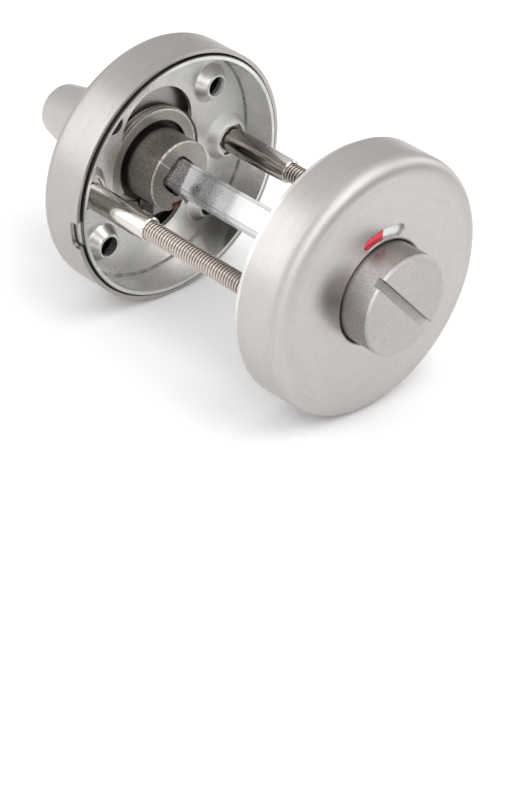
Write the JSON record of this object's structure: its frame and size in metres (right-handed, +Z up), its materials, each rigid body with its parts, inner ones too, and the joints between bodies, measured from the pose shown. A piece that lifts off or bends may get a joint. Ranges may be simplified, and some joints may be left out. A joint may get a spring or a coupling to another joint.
{
  "type": "bathroom thumb turn lock",
  "caption": "Round bathroom privacy lock trim: a conical thumb turn and a coin release with a red and white indicator, joined through the door by a square spindle and clamping bolts.",
  "frame": {"origin": "on the axis of the spindle, half way through the door", "axes": "+Y along the spindle into the room, towards the thumb turn; +Z up; +X to the right as seen from outside at the coin release"},
  "size_m": [0.052, 0.0961, 0.052],
  "materials": {
    "satin_stainless": "satin brushed stainless steel",
    "turned_stainless": "fine turned stainless steel",
    "bright_zinc_plate": "pressed steel, bright zinc plated",
    "spring_steel": "plain spring steel",
    "hub_casting": "die-cast zinc alloy, matt and grainy",
    "ring_casting": "die-cast zinc alloy, light grey",
    "coppered_steel": "steel with a coppery tint",
    "bright_nickel": "bright nickel plated steel",
    "bolt_steel": "stainless steel thread",
    "spindle_steel": "drawn square steel, zinc plated",
    "black_plastic": "black moulded plastic",
    "red_plastic": "red plastic",
    "white_plastic": "white plastic",
    "grey_plastic": "grey moulded plastic"
  },
  "bodies": {
    "roses": {"inside_cover_rose": "satin_stainless", "outside_cover_rose": "satin_stainless", "inside_rose_plate": "bright_zinc_plate", "outside_rose_plate": "bright_zinc_plate", "turn_spring_washer": "spring_steel", "release_clip_washer": "bright_zinc_plate", "hub_bearing_ring": "ring_casting", "sleeve_nuts": "bright_nickel", "clamping_bolts": "bolt_steel", "release_bush": "grey_plastic"},
    "turn_set": {"thumb_turn": "satin_stainless", "turn_hub": "hub_casting", "hub_grub_screw": "coppered_steel", "square_spindle": "spindle_steel", "spindle_cross_pin": "bolt_steel", "release_knob": "turned_stainless", "indicator_carrier": "black_plastic", "indicator_red_segment": "red_plastic", "indicator_white_segment": "white_plastic", "release_circlip": "spring_steel"}
  },
  "joints": [
    {"name": "thumb_turn_rotation", "type": "hinge", "parent": "roses", "child": "turn_set", "pos_m": [0, 0, 0], "axis": [0, 1, 0], "range_deg": [-45, 45]}
  ]
}
